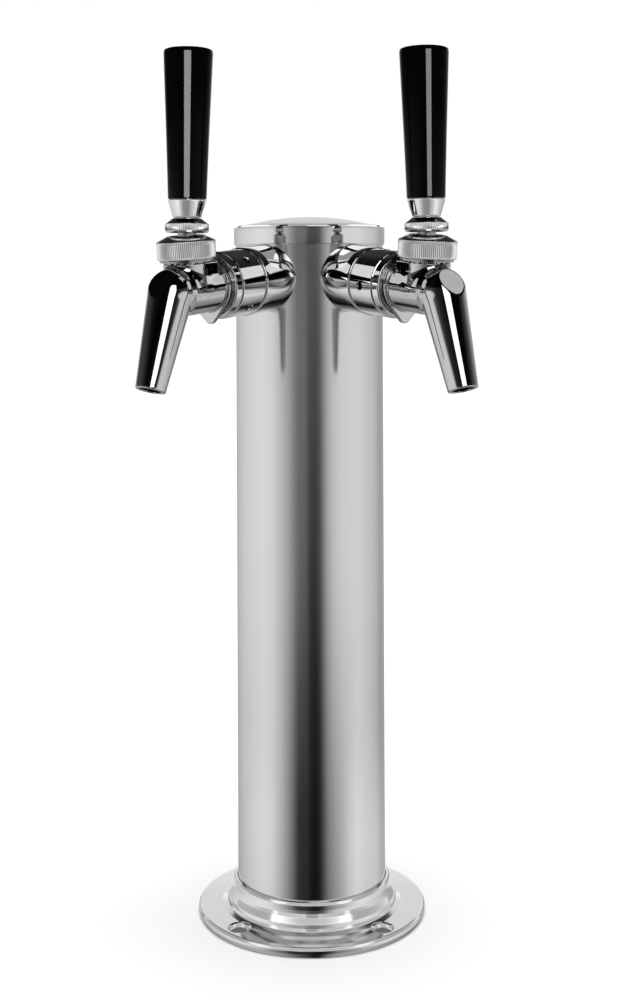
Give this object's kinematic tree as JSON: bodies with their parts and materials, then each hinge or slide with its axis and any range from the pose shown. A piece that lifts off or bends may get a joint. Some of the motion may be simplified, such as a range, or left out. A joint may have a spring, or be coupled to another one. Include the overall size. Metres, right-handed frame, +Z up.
{
  "type": "beer tap tower",
  "caption": "Counter-top draught beer tower: polished column on a round screw-down flange, push-on cap and two lever faucets angled apart.",
  "frame": {"origin": "on the column axis, in the plane of the flange underside (the counter top)", "axes": "+Z up along the column; the faucets face -Y, one towards -X (left) and one towards +X (right)"},
  "size_m": [0.1556, 0.1665, 0.4354],
  "materials": {
    "polished_steel": "polished stainless steel, soft mirror",
    "chrome_plate": "mirror chrome plate on brass",
    "satin_chrome": "fine straight knurl, satin chrome",
    "plain_steel": "machined stainless steel",
    "brass_fitting": "machined brass",
    "black_rubber": "matte",
    "acetal": "matte white",
    "black_handle": "high gloss black"
  },
  "bodies": {
    "tower": {"column_tube": "polished_steel", "base_flange": "polished_steel", "left_shank_collar": "chrome_plate", "left_shank": "chrome_plate", "left_inner_washer": "plain_steel", "left_shank_hex_nut": "brass_fitting", "left_barbed_elbow": "brass_fitting", "left_coupling_nut": "chrome_plate", "left_coupling_gasket": "black_rubber", "left_faucet_body": "chrome_plate", "left_bonnet": "satin_chrome", "left_ball_seat": "acetal", "left_ball_o_ring": "black_rubber", "left_friction_washer": "acetal", "right_shank_collar": "chrome_plate", "right_shank": "chrome_plate", "right_inner_washer": "plain_steel", "right_shank_hex_nut": "brass_fitting", "right_barbed_elbow": "brass_fitting", "right_coupling_nut": "chrome_plate", "right_coupling_gasket": "black_rubber", "right_faucet_body": "chrome_plate", "right_bonnet": "satin_chrome", "right_ball_seat": "acetal", "right_ball_o_ring": "black_rubber", "right_friction_washer": "acetal"},
    "cap": {"top_cap": "polished_steel"},
    "left_lever": {"left_lever": "plain_steel", "left_lever_lock_nut": "chrome_plate", "left_handle_ferrule": "chrome_plate", "left_handle_stud": "plain_steel", "left_tap_handle": "black_handle"},
    "left_shuttle": {"left_shuttle": "plain_steel", "left_shuttle_o_ring": "black_rubber"},
    "right_lever": {"right_lever": "plain_steel", "right_lever_lock_nut": "chrome_plate", "right_handle_ferrule": "chrome_plate", "right_handle_stud": "plain_steel", "right_tap_handle": "black_handle"},
    "right_shuttle": {"right_shuttle": "plain_steel", "right_shuttle_o_ring": "black_rubber"}
  },
  "joints": [
    {"name": "cap_lift", "type": "slide", "parent": "tower", "child": "cap", "axis": [0, 0, 1], "range_m": [0, 0.03]},
    {"name": "left_lever_pull", "type": "hinge", "parent": "tower", "child": "left_lever", "pos_m": [-0.05609, -0.0801, 0.33734], "axis": [0.8192, -0.5736, 0], "range_deg": [0, 20]},
    {"name": "left_shuttle_slide", "type": "slide", "parent": "tower", "child": "left_shuttle", "axis": [0.5714, 0.816, 0.0872], "range_m": [0, 0.0052]},
    {"name": "right_lever_pull", "type": "hinge", "parent": "tower", "child": "right_lever", "pos_m": [0.05609, -0.0801, 0.33734], "axis": [0.8192, 0.5736, 0], "range_deg": [0, 20]},
    {"name": "right_shuttle_slide", "type": "slide", "parent": "tower", "child": "right_shuttle", "axis": [-0.5714, 0.816, 0.0872], "range_m": [0, 0.0052]}
  ],
  "couplings": [
    {"joint": "left_shuttle_slide", "follows": "left_lever_pull", "m_per_rad": 0.01484},
    {"joint": "right_shuttle_slide", "follows": "right_lever_pull", "m_per_rad": 0.01484}
  ]
}
